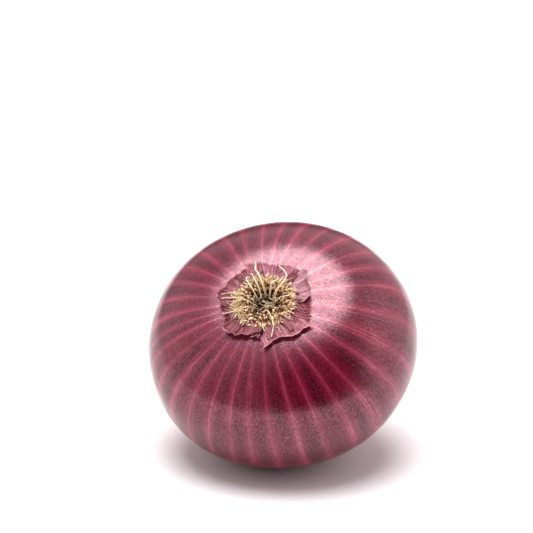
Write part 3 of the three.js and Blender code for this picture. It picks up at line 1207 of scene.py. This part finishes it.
@dataclass
class Collar:
    """The ring of torn papery skin round the root end. Lengths are in millimetres."""

    posture: Posture
    inner_radius: float = 6.4
    clearance: float = 0.22
    thickness: float = 0.11
    lap: float = 1.6
    layer_step: float = 0.3
    columns: int = 72
    rows: int = 40
    shapes: tuple[FlapShape, ...] = (
        FlapShape(5, 38, (12.6, 13.9, 14.3, 14.1, 14.2), 1.5, 0.9, 4, 0.20, 0.12, tone=Tone.PALE),
        FlapShape(38, 56, (14.4, 15.8, 15.7), 0.7, 0.3, 3, 0.20, 0.15, layer=0.3, tone=Tone.PALE),
        FlapShape(56, 81, (14.3, 14.2, 13.2), 0.6, 0.1, 8, 0.12, 0.12, tone=Tone.STREAKED),
        FlapShape(80, 106, (13.1, 13.0, 13.9), 0.5, 0.2, 9, 0.25, 0.55, tone=Tone.STREAKED),
        FlapShape(105, 126, (14.3, 14.2, 15.0), 0.6, 0.2, 5, 0.25, 0.35, layer=0.3),
        FlapShape(124, 167, (13.4, 12.9, 13.6, 13.2), 0.7, 0.25, 8, 0.26, 0.30, tone=Tone.MAUVE),
        FlapShape(165, 194, (13.6, 14.7, 13.9, 12.8), 0.9, 0.5, 6, 0.28, 0.15, layer=0.3, tone=Tone.MAUVE),
        FlapShape(192, 224, (13.0, 12.4, 13.4), 0.6, 0.1, 9, 0.20, 0.60, tone=Tone.WINE),
        FlapShape(222, 279, (14.8, 14.4, 12.9, 11.7, 10.2), 1.2, 0.35, 8, 0.36, 0.28, 1.2, 0.3, Tone.WINE),
        FlapShape(278, 340, (15.8, 13.7, 13.4, 15.0, 15.0, 16.3), 1.1, 0.2, 6, 0.18, 0.14),
        FlapShape(338, 366, (14.4, 14.0, 13.1), 0.5, 0.2, 5, 0.22, 0.45, tone=Tone.WINE),
    )
    shred_count: int = 22

    def _lift(self, shape: FlapShape, seed: int, u: Points, v: Points, roll: Points) -> Points:
        """How far a scrap stands off the skin.

        Args:
            shape: its outline and lift.
            seed: picks its folds.
            u: share of its width at each point.
            v: share of its reach at each point.
            roll: how much of the rim's curl applies at each point.

        Returns:
            The distance at each point, in millimetres.
        """
        fold = ripple(shape.folds * u / 2.0 + 0.12 * ripple(1.5 * v, seed + 3, 1), seed + 4, 2)
        crumple = ripple(3.1 * u + 2.3 * v, seed + 5, 2) * ripple(2.2 * v - 1.4 * u, seed + 6, 2)
        lift = self.clearance + self.layer_step * shape.layer + shape.rim_lift * v ** 2.2
        lift = lift + shape.fold_depth * v ** 0.8 * (fold + 0.35) + 0.12 * crumple * v
        lift = lift + shape.curl * roll ** 2 + shape.hood * (1.0 - blend_in(v, 0.0, 0.55))
        return np.maximum(lift, self.clearance)

    def _sheet(self, name: str, shape: FlapShape, seed: int, fineness: float = 1.0) -> Piece:
        """Model one scrap.

        Args:
            name: the new object's name.
            shape: its outline and lift.
            seed: picks its folds and tears.
            fineness: its grid's lines as a share of a large scrap's.

        Returns:
            The scrap, in the row's frame.
        """
        scrap, u, v = new_sheet(name, round(self.columns * fineness), round(self.rows * fineness))
        width = math.radians(shape.end - shape.start) * float(np.mean(shape.reach))
        reach = np.interp(u, np.linspace(0.0, 1.0, len(shape.reach)), shape.reach)
        tears = 0.6 * ripple(width * u / 1.9, seed) + 0.5 * ripple(width * u / 0.7, seed + 1, 2)
        reach = reach + shape.rag * tears
        wander = self.lap * (ripple(1.3 * v, seed + 2, 2) - 0.4)
        azimuth = shape.start + (shape.end - shape.start) * u + wander * (2.0 * u - 1.0) * v
        turn = np.radians(azimuth)
        roll = blend_in(v, 0.72, 1.0)
        radius = self.inner_radius + (reach - self.inner_radius) * v - 0.45 * shape.curl * roll ** 2
        form = self.posture.form
        height = form.root_surface(np.maximum(radius * MM, form.dish_rim_radius))
        height = height + self._lift(shape, seed, u, v, roll) * MM
        points = np.stack([radius * MM * np.cos(turn), radius * MM * np.sin(turn), height], 1)
        write_points(scrap, self.posture.to_row(form.lopsided(points)))
        corners = corner_vertices(scrap)
        write_map(scrap, MapName.FLAP, (u * width / 10.0 + seed)[corners], v[corners])
        thicken(scrap, self.thickness * MM)
        shade(scrap, 60.0)
        return scrap

    def _shreds(self) -> Piece:
        """Model the small shreds close to the roots as one piece."""
        dice = random.Random(71)
        shreds = []
        for number in range(self.shred_count):
            middle = 360.0 * (number + dice.uniform(0.2, 0.8)) / self.shred_count
            half = dice.uniform(3.0, 8.0)
            far = dice.uniform(10.0, 13.2)
            shape = FlapShape(middle - half, middle + half, (far, far + dice.uniform(-0.8, 0.8)),
                              dice.uniform(0.1, 0.9), 0.1, 3, 0.15, 0.5, layer=dice.choice((-0.4, 1.6)))
            shreds.append(self._sheet(f"shred_{number}", shape, 400 + 10 * number, 0.5))
        return joined(shreds, "torn_skin_shreds")

    def build(self) -> list[Piece]:
        """Model and dress every scrap."""
        papers = make_papers()
        made = []
        for number, shape in enumerate(self.shapes, 1):
            scrap = self._sheet(f"torn_skin_{number}", shape, 10 * number)
            made.append(settle(scrap, papers[shape.tone], [f"papery_flap_{number}"]))
        made.append(settle(self._shreds(), papers[Tone.MAUVE]))
        return made


@dataclass(frozen=True)
class Whorl:
    """One ring of root stubs. Lengths are in millimetres, the tilt in degrees from the axis.

    Attributes:
        count: how many stubs it has.
        foot: their feet's distance from the root centre.
        height: their feet's height over the dish's floor.
        tilt: how far they lean outwards.
        lengths: the shortest and the longest.
        widths: the least and the greatest radius.
        scatter: how far a foot may be out of the ring.
    """

    count: int
    foot: float
    height: float
    tilt: float
    lengths: tuple[float, float]
    widths: tuple[float, float]
    scatter: float = 0.35


@dataclass(frozen=True)
class Strand:
    """One long root: its radius at the foot, and azimuth and distance from the root centre along it."""

    width: float
    stations: tuple[tuple[float, float], ...]


def blunt_girth(width: float, waist: float, blunt: float) -> Callable[[Points], Points]:
    """The radius along a stub: thick at the foot, pinched, then blunt or flared.

    Args:
        width: radius at the foot.
        waist: share of it that is left half-way.
        blunt: share of it that is lost at the tip.

    Returns:
        A function that gives the radius for each share of the length.
    """
    return lambda at: width * (1.0 - (1.0 - waist) * np.sin(np.pi * at) - blunt * at ** 4)


def tapered_girth(width: float, foot: float, loss: float) -> Callable[[Points], Points]:
    """The radius along a fibre: foot times its width, less loss times its width at the tip."""
    return lambda at: width * (foot - loss * at)


@dataclass
class RootTuft:
    """The basal plate with its stubs, long dried roots and fine fibres. Lengths are in millimetres."""

    posture: Posture
    plate_radius: float = 6.2
    plate_middle: float = 0.75
    plate_steps: tuple[tuple[float, float], ...] = (
        (0.5, 0.35), (0.6, 0.25), (0.6, -0.1), (0.7, -0.35), (0.8, -0.4), (0.8, -0.2), (0.8, 0.0),
    )
    mat_radius: float = 5.9
    mat_thickness: float = 1.25
    mat_height: float = 1.9
    mat_flatness: float = 0.85
    strand_crest: float = 4.5
    fibre_count: int = 150
    curl_count: int = 30
    outer_whorls: tuple[Whorl, ...] = (
        Whorl(88, 6.6, 1.5, 84.0, (1.7, 3.3), (0.16, 0.33)),
        Whorl(76, 6.3, 1.9, 70.0, (1.3, 2.5), (0.20, 0.40)),
        Whorl(60, 5.8, 2.3, 50.0, (1.0, 1.9), (0.24, 0.47)),
        Whorl(50, 5.3, 2.3, 34.0, (0.9, 1.8), (0.24, 0.46)),
        Whorl(34, 4.8, 2.0, 14.0, (0.8, 1.6), (0.24, 0.46), 0.7),
        Whorl(18, 4.3, 1.8, -20.0, (0.8, 1.5), (0.20, 0.38), 0.7),
    )
    inner_whorls: tuple[Whorl, ...] = (
        Whorl(22, 4.0, 1.2, 4.0, (0.8, 1.6), (0.22, 0.40)),
        Whorl(16, 3.0, 0.9, -5.0, (0.7, 1.3), (0.24, 0.42)),
        Whorl(10, 1.9, 0.8, 0.0, (0.6, 1.2), (0.24, 0.42)),
        Whorl(5, 0.8, 0.8, 0.0, (0.6, 1.2), (0.24, 0.40)),
    )
    strands: tuple[Strand, ...] = (
        Strand(0.32, ((24, 2.3), (40, 4.6), (49, 7.4), (57, 9.6), (67, 10.6), (80, 11.8))),
        Strand(0.34, ((92, 2.3), (105, 5.2), (112, 8.4), (114, 11), (112, 13.8))),
        Strand(0.30, ((124, 2.3), (122, 4.8), (123, 7.2), (124, 9.4))),
        Strand(0.28, ((158, 2.3), (146, 4.6), (140, 7.2), (136, 8.6), (131, 7.8))),
        Strand(0.16, ((186, 2.3), (179, 5.4), (176, 8.6), (176.5, 11), (178.5, 12.8))),
        Strand(0.18, ((214, 2.3), (196, 5.2), (188, 8.6), (185, 11), (184.5, 12.6))),
        Strand(0.15, ((242, 2.3), (227, 5.2), (219, 8), (214, 10.4), (208, 12.6))),
        Strand(0.22, ((288, 2.3), (297, 5.2), (299, 8.4), (296, 10.6), (290, 12.8))),
        Strand(0.20, ((350, 2.3), (2, 4.8), (10, 7.6), (14, 9))),
        Strand(0.30, ((62, 2), (70, 4.6), (66, 7))),
    )

    def _in_row(self, piece: Piece) -> Piece:
        """Move a piece into the row's frame.

        Args:
            piece: a piece made in millimetres, in the onion's own frame.

        Returns:
            The piece.
        """
        points = read_points(piece) * MM
        write_points(piece, self.posture.to_row(self.posture.form.lopsided(points)))
        return piece

    def _floor(self) -> float:
        """Height of the dish's floor above the widest ring."""
        return float(self.posture.form.root_surface(0.0)) / MM

    def _skin_height(self, radius: Points) -> Points:
        """Height of the skin beside the dish."""
        form = self.posture.form
        return form.root_surface(np.maximum(np.asarray(radius) * MM, form.dish_rim_radius)) / MM

    def _plate(self) -> Piece:
        """Model the corky disc, with a rounded shoulder and a hollow middle."""
        deselect()
        middle = (0.0, 0.0, self._floor() + self.plate_middle)
        bpy.ops.mesh.primitive_cylinder_add(
            vertices=64, radius=self.plate_radius, depth=1.0, location=middle)
        plate = newest("corky_basal_plate")
        bpy.ops.object.transform_apply(location=True, rotation=False, scale=False)
        pick_faces(plate, lambda face: face.normal.z > 0.9)
        for inset, rise in self.plate_steps:
            bpy.ops.mesh.inset(thickness=inset)
            bpy.ops.transform.translate(value=(0.0, 0.0, rise))
        bpy.ops.object.mode_set(mode="OBJECT")
        take(plate)
        bpy.ops.object.modifier_add(type="SUBSURF")
        finer = plate.modifiers[-1]
        finer.levels = 2
        finer.render_levels = 2
        bpy.ops.object.modifier_apply(modifier=finer.name)
        points = read_points(plate)
        x, y = points[:, 0], points[:, 1]
        points[:, 2] += 0.5 * (ripple(0.9 * x + 0.3 * y, 5) * ripple(0.8 * y - 0.2 * x, 6))
        write_points(plate, points)
        shade(plate, 80.0)
        return self._in_row(plate)

    def _stub_path(self, whorl: Whorl, place: int, dice: random.Random) -> Points:
        """The middle line of one stub, which bends a little and keeps off the skin.

        Args:
            whorl: the ring that it stands in.
            place: its number in the ring.
            dice: the shared source of chance.

        Returns:
            The points of its path.
        """
        azimuth = 2.0 * math.pi * (place + dice.uniform(-0.45, 0.45)) / whorl.count
        foot = whorl.foot + dice.uniform(-whorl.scatter, whorl.scatter)
        lean = math.radians(whorl.tilt + dice.uniform(-20.0, 16.0))
        length = dice.uniform(*whorl.lengths)
        share = np.linspace(0.0, 1.0, 7)
        angle = lean + dice.uniform(-0.5, 0.9) * share
        step = length / 6.0
        out = foot + np.concatenate([[0.0], np.cumsum(np.sin(angle[1:]) * step)])
        up = self._floor() + whorl.height + dice.uniform(-0.3, 0.3)
        up = up + np.concatenate([[0.0], np.cumsum(np.cos(angle[1:]) * step)])
        low = self._skin_height(out) + 0.8 + 0.3 * blend_in(out, 7.0, 9.0)
        up = np.where(out > 6.8, np.maximum(up, low), up)
        sideways = dice.uniform(-0.55, 0.55) * length * share ** 1.5
        x = out * math.cos(azimuth) - sideways * math.sin(azimuth)
        y = out * math.sin(azimuth) + sideways * math.cos(azimuth)
        return np.stack([x, y, up], 1)

    def _stubs(self, whorls: Sequence[Whorl], name: str, seed: int) -> Piece:
        """Model rings of short blunt roots.

        Args:
            whorls: the rings, outermost first.
            name: the new piece's name.
            seed: picks each root's own shape.

        Returns:
            All the rings as one piece.
        """
        sides, rings = 8, 5
        dice = random.Random(seed)
        shoot = Shoot(sides, rings)
        torn = np.repeat(blend_in(np.linspace(0.0, 1.0, rings + 2), 0.6, 1.0), sides)
        made = []
        for ring, whorl in enumerate(whorls):
            for place in range(whorl.count):
                path = self._stub_path(whorl, place, dice)
                width = dice.uniform(*whorl.widths)
                girth = blunt_girth(width, dice.uniform(0.6, 1.0), dice.uniform(0.0, 0.75))
                label = f"{name}_{ring}_{place}"
                stub = shoot.grow(label, path, girth, dice.random(), dice.uniform(0.4, 0.95))
                points = read_points(stub)
                fray = np.random.default_rng(seed + 100 * ring + place).normal(0.0, 0.07, points.shape)
                write_points(stub, points + fray * torn[:, None])
                made.append(stub)
        shoot.discard()
        stubs = joined(made, name)
        shade(stubs, 45.0)
        return self._in_row(stubs)

    def _mat(self) -> Piece:
        """Model the rough ring that the stubs grow out of, coloured almost wholly in the roots' dark foot
        colour, which is partly painted shade between the stubs, and a little lighter on its raised lumps.
        """
        deselect()
        middle = (0.0, 0.0, self._floor() + self.mat_height)
        bpy.ops.mesh.primitive_torus_add(
            major_radius=self.mat_radius, minor_radius=self.mat_thickness,
            major_segments=144, minor_segments=28, location=middle)
        mat = newest("root_mat")
        bpy.ops.object.transform_apply(location=True, rotation=False, scale=False)
        bpy.ops.object.mode_set(mode="EDIT")
        bpy.ops.mesh.select_all(action="SELECT")
        bpy.ops.transform.resize(value=(1.0, 1.0, self.mat_flatness), center_override=middle)
        bpy.ops.mesh.subdivide(number_cuts=1)
        bpy.ops.object.mode_set(mode="OBJECT")
        points = read_points(mat)
        turn = np.arctan2(points[:, 1], points[:, 0]) / (2.0 * math.pi)
        radius = np.hypot(points[:, 0], points[:, 1])
        lumps = ripple(np.abs(turn) * 38.0 + 0.4 * radius, 17, 2) * ripple(1.1 * radius + 4.0 * turn, 18, 2)
        points[:, 2] += 0.45 * lumps
        write_points(mat, points)
        corners = corner_vertices(mat)
        # Raised lumps reach a little further up the root colours; the rest keeps the dark foot colour,
        # partly painted shade between the stubs.
        write_map(mat, MapName.ROOT, np.abs(turn)[corners], (0.12 * blend_in(lumps, -0.6, 0.8))[corners])
        shade(mat, 80.0)
        return self._in_row(mat)

    def _strand_path(self, stations: Sequence[tuple[float, float]], seed: int) -> Points:
        """The middle line of a long root that rises over the stubs and comes down on the skin.

        Args:
            stations: azimuth and distance from the root centre along it.
            seed: picks its small kinks.

        Returns:
            The points of its path.
        """
        floor = self._floor()
        points = []
        for i, (azimuth, radius) in enumerate(stations):
            aloft = floor + (self.strand_crest if i else 0.8)
            fall = float(blend_in(radius, 7.5, 13.0))
            landed = float(self._skin_height(radius)) + 2.2
            turn = math.radians(azimuth)
            height = aloft + (landed - aloft) * fall
            points.append((radius * math.cos(turn), radius * math.sin(turn), height))
        path = smoothed_path(np.array(points), 26)
        share = np.linspace(0.0, 1.0, len(path))
        for axis in range(3):
            path[:, axis] += 0.10 * ripple(2.2 * share, 3 * seed + axis, 2) * share
        return path

    def _strands(self) -> list[Piece]:
        """Model the long dried roots."""
        dice = random.Random(5)
        shoot = Shoot(10, 25)
        made = []
        for number, strand in enumerate(self.strands, 1):

            def girth(at: Points, width: float = strand.width, seed: int = number) -> Points:
                """Slowly thinner, with small swellings."""
                return width * (1.05 - 0.45 * at) * (1.0 + 0.12 * ripple(3.0 * at, 60 + seed, 2))

            path = self._strand_path(strand.stations, number)
            root = shoot.grow(f"long_root_{number}", path, girth, dice.uniform(0.3, 1.0), 0.75)
            shade(root, 60.0)
            made.append(self._in_row(root))
        shoot.discard()
        return made

    def _fibres(self) -> Piece:
        """Model hair-fine root ends that lie outwards over the torn skin."""
        dice = random.Random(33)
        shoot = Shoot(6, 9)
        made = []
        for number in range(self.fibre_count):
            azimuth = dice.choice((dice.uniform(0.0, 360.0), dice.uniform(165.0, 235.0)))
            near = dice.uniform(6.4, 8.0)
            far = near + dice.uniform(0.9, 2.4) + 2.4 * dice.random() ** 4
            sweep = dice.uniform(-16.0, 16.0)
            share = np.linspace(0.0, 1.0, 10)
            radius = near + (far - near) * share
            turn = np.radians(azimuth + sweep * share ** 1.4)
            hover = dice.uniform(0.7, 1.6)
            height = self._skin_height(radius) + hover + 0.7 * (1.0 - share)
            height = height + 0.2 * ripple(1.4 * share, number, 2)
            path = np.stack([radius * np.cos(turn), radius * np.sin(turn), height], 1)
            girth = tapered_girth(dice.uniform(0.05, 0.12), 1.1, 0.7)
            made.append(shoot.grow(f"fibre_{number}", path, girth, dice.uniform(0.4, 1.0)))
        shoot.discard()
        return self._in_row(joined(made, "fine_root_fibres"))

    def _tangle(self) -> Piece:
        """Model the curled grey-brown fibres over the dark middle of the plate."""
        dice = random.Random(90)
        shoot = Shoot(6, 9)
        floor = self._floor()
        made = []
        for number in range(self.curl_count):
            centre = 4.2 * math.sqrt(dice.random())
            around = dice.uniform(0.0, 6.28)
            loop = dice.uniform(0.6, 1.5)
            phase = dice.uniform(0.0, 6.28)
            arc = dice.uniform(1.0, 3.2)
            share = np.linspace(0.0, 1.0, 10)
            turn = phase + arc * share
            base = floor + dice.uniform(1.6, 3.0)
            path = np.stack([
                centre * math.cos(around) + loop * np.cos(turn),
                centre * math.sin(around) + loop * np.sin(turn),
                base + 0.5 * np.sin(2.6 * share + phase),
            ], 1)
            girth = tapered_girth(dice.uniform(0.16, 0.29), 1.0, 0.5)
            made.append(shoot.grow(f"curl_{number}", path, girth, dice.random()))
        shoot.discard()
        return self._in_row(joined(made, "curled_fibres"))

    def build(self) -> list[Piece]:
        """Model and dress the whole tuft."""
        cream = RootFinish("dried_root_cream").make()
        pale = RootFinish(
            "dried_root_pale", foot=(0.52, 0.32, 0.13, 1.0), middle=(0.74, 0.55, 0.28, 1.0),
            tip=(0.80, 0.69, 0.48, 1.0)).make()
        grey = RootFinish(
            "dried_root_grey", foot=(0.12, 0.06, 0.03, 1.0), middle=(0.46, 0.32, 0.19, 1.0),
            tip=(0.86, 0.70, 0.48, 1.0), stain=(0.04, 0.018, 0.010, 1.0)).make()
        # Near-black feet for the stubs in the plate's hollow middle: partly their own dark brown, partly
        # painted shade of the hollow.
        dark = RootFinish(
            "dried_root_dark", foot=(0.008, 0.003, 0.002, 1.0), middle=(0.050, 0.024, 0.012, 1.0),
            tip=(0.42, 0.27, 0.15, 1.0), stain=(0.01, 0.005, 0.003, 1.0)).make()
        made = [
            settle(self._plate(), CorkFinish().make(), ["basal_plate"]),
            settle(self._mat(), cream),
            settle(self._stubs(self.outer_whorls, "root_stubs", 12), cream),
            settle(self._stubs(self.inner_whorls, "inner_root_stubs", 57), dark),
            settle(self._fibres(), pale),
            settle(self._tangle(), grey),
        ]
        for number, root in enumerate(self._strands(), 1):
            made.append(settle(root, pale, [f"root_strand_{number}"]))
        return made


@dataclass
class NeckTatters:
    """Torn dry skin round the neck's tip. Lengths are in millimetres."""

    posture: Posture
    count: int = 15
    columns: int = 26
    rows: int = 30
    thickness: float = 0.1

    def _strip(self, number: int, dice: random.Random) -> Piece:
        """Model one strip that hugs the neck and ends torn beyond its tip.

        Args:
            number: its place in the row of strips.
            dice: the shared source of chance.

        Returns:
            The strip, in the row's frame.
        """
        strip, u, v = new_sheet(f"neck_strip_{number}", self.columns, self.rows)
        form = self.posture.form
        tip = self.posture.neck_tip_height() / MM
        start = form.neck_side_height / MM + dice.uniform(-1.0, 3.0)
        end = tip + dice.uniform(-2.0, 2.0)
        middle = 2.0 * math.pi * (number + dice.uniform(-0.3, 0.3)) / self.count
        half = dice.uniform(0.25, 0.48)
        down = start + (end - start) * v
        body = -(down - form.neck_side_height / MM) * MM
        share = np.clip((down * MM - form.neck_side_height) / (tip * MM - form.neck_side_height), 0.0, 1.0)
        neck = form.neck_waist_radius + (form.neck_tip_radius - form.neck_waist_radius) * share
        radius = form.filleted(np.minimum(body, 0.0), neck) / MM
        flare = dice.uniform(-0.3, 1.6)
        radius = radius * (1.0 + 0.05 * np.sin(9 * (middle + half * (2 * u - 1)))) + 0.35 + flare * v ** 3
        radius = radius + 0.25 * ripple(2.5 * u + 0.6 * v, 7 * number) * v
        turn = middle + half * (2.0 * u - 1.0) * (1.0 - 0.45 * v ** 2) + 0.35 * v
        ragged = 0.8 * ripple(4.0 * u, 11 * number, 3) * v ** 4
        points = np.stack([radius * np.cos(turn), radius * np.sin(turn), -(down + ragged)], 1) * MM
        placed = self.posture.to_row(points)
        placed[:, 2] = np.maximum(placed[:, 2], 0.12 * MM + 0.1 * MM * u)
        write_points(strip, placed)
        corners = corner_vertices(strip)
        write_map(strip, MapName.FLAP, (u * 0.4 + number)[corners], v[corners])
        thicken(strip, self.thickness * MM)
        return strip

    def build(self) -> Piece:
        """Model and dress the strips as one piece."""
        dice = random.Random(8)
        strips = [self._strip(number, dice) for number in range(self.count)]
        tatters = joined(strips, "neck_tatters")
        shade(tatters, 60.0)
        paper = PaperFinish(
            "dry_neck_skin", body=(0.46, 0.24, 0.17, 1.0), shadow=(0.24, 0.07, 0.06, 1.0),
            rib=(0.66, 0.44, 0.31, 1.0), rim=(0.78, 0.62, 0.46, 1.0), ribs=30.0)
        return settle(tatters, paper.make())


# ---------------------------------------------------------------- studio


@dataclass(frozen=True)
class LightPatch:
    """One soft round patch of the studio's surroundings.

    Attributes:
        toward: the direction of its middle.
        inner: degrees from the middle that are fully painted.
        outer: degrees from the middle where it ends.
        colour: its colour.
    """

    toward: tuple[float, float, float]
    inner: float
    outer: float
    colour: Colour


@dataclass
class Studio:
    """Floor, light and camera. The camera's place is told from the onion's centre."""

    posture: Posture
    azimuth: float = math.radians(13.9)
    elevation: float = math.radians(19.0)
    distance: float = 450.0 * MM
    aside: float = 4.95 * MM
    above: float = 23.3 * MM
    lens: float = 101.8
    floor_size: float = 14.0
    lamp_strength: float = 3.9
    lamp_spread: float = math.radians(47.0)
    lamp_toward: tuple[float, float, float] = (-0.085, 0.06, 1.0)
    wall: Colour = (0.55, 0.50, 0.52, 1.0)
    patches: tuple[LightPatch, ...] = (
        LightPatch((0.95, 0.30, 0.45), 22.0, 44.0, (1.6, 1.45, 1.5, 1.0)),
        LightPatch((-1.0, -0.10, 0.42), 18.0, 42.0, (1.25, 1.12, 1.16, 1.0)),
        LightPatch((0.05, 1.0, 0.50), 25.0, 55.0, (1.15, 0.94, 1.00, 1.0)),
        LightPatch((-0.30, 1.0, 0.05), 12.0, 32.0, (0.20, 0.14, 0.16, 1.0)),
        LightPatch((-0.519, -0.276, 0.809), 12.0, 32.0, (1.05, 0.94, 0.97, 1.0)),
        LightPatch((0.389, -0.764, 0.515), 18.0, 42.0, (0.012, 0.012, 0.014, 1.0)),
    )

    def _floor(self) -> None:
        """Lay a wide floor whose far edges rise a little."""
        deselect()
        bpy.ops.mesh.primitive_grid_add(x_subdivisions=40, y_subdivisions=40, size=self.floor_size)
        floor = newest("studio_floor")
        points = read_points(floor)
        points[:, 2] = 0.3 * blend_in(np.hypot(points[:, 0], points[:, 1]), 4.5, 7.0)
        write_points(floor, points)
        shade(floor, 60.0)
        floor.data.materials.append(FloorFinish().make())

    def _sun(self) -> None:
        """Hang one very wide soft light overhead, a little behind on the left."""
        lamp = bpy.data.lights.new("overhead_softbox", "SUN")
        lamp.energy = self.lamp_strength
        lamp.angle = self.lamp_spread
        light = bpy.data.objects.new("overhead_softbox", lamp)
        light.rotation_euler = Vector(self.lamp_toward).to_track_quat("Z", "Y").to_euler()
        bpy.context.scene.collection.objects.link(light)

    def _surroundings(self) -> None:
        """Paint the studio round the onion: pale walls, brighter sides and two dark places."""
        world = bpy.data.worlds.new("studio")
        bpy.context.scene.world = world
        s = Sketch(world)
        way = s.add("TexCoord").outputs["Generated"]
        painted = self.wall
        for patch in self.patches:
            facing = s.add("VectorMath", {"operation": "DOT_PRODUCT"})
            s.feed(facing.inputs[0], way)
            s.feed(facing.inputs[1], Vector(patch.toward).normalized())
            least = math.cos(math.radians(patch.outer))
            share = s.ramp(facing.outputs["Value"], least, math.cos(math.radians(patch.inner)))
            painted = s.mix(share, painted, patch.colour)
        glow = s.add("Background", None, Color=painted)
        s.add("OutputWorld", None, Surface=glow.outputs[0])

    def _camera(self) -> None:
        """Aim a long lens down at the root end, from a little to the right."""
        a, e = self.azimuth, self.elevation
        right = Vector((math.cos(a), math.sin(a), 0.0))
        back = Vector((math.sin(a) * math.cos(e), -math.cos(a) * math.cos(e), math.sin(e)))
        up = back.cross(right)
        data = bpy.data.cameras.new("camera")
        data.lens = self.lens
        data.sensor_width = 36.0
        data.clip_start = 0.01
        camera = bpy.data.objects.new("camera", data)
        place = self.posture.centre() - right * self.aside + up * self.above + back * self.distance
        turn = Matrix((right, up, back)).transposed().to_4x4()
        camera.matrix_world = Matrix.Translation(place) @ turn
        bpy.context.scene.collection.objects.link(camera)
        bpy.context.scene.camera = camera

    def build(self) -> None:
        """Set up the studio."""
        self._camera()
        self._floor()
        self._sun()
        self._surroundings()
        bpy.context.scene.view_settings.view_transform = "Standard"


def main() -> None:
    """Build the onion, piece by piece, and the studio round it."""
    logging.basicConfig(level=logging.INFO, format="%(name)s: %(message)s")
    low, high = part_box("bulb")
    posture = Posture(BulbForm(equator_radius=(high.x - low.x) / 2.0))
    Studio(posture).build()
    BulbSkin(posture).build()
    Collar(posture).build()
    RootTuft(posture).build()
    NeckTatters(posture).build()


if __name__ == "__main__":
    main()
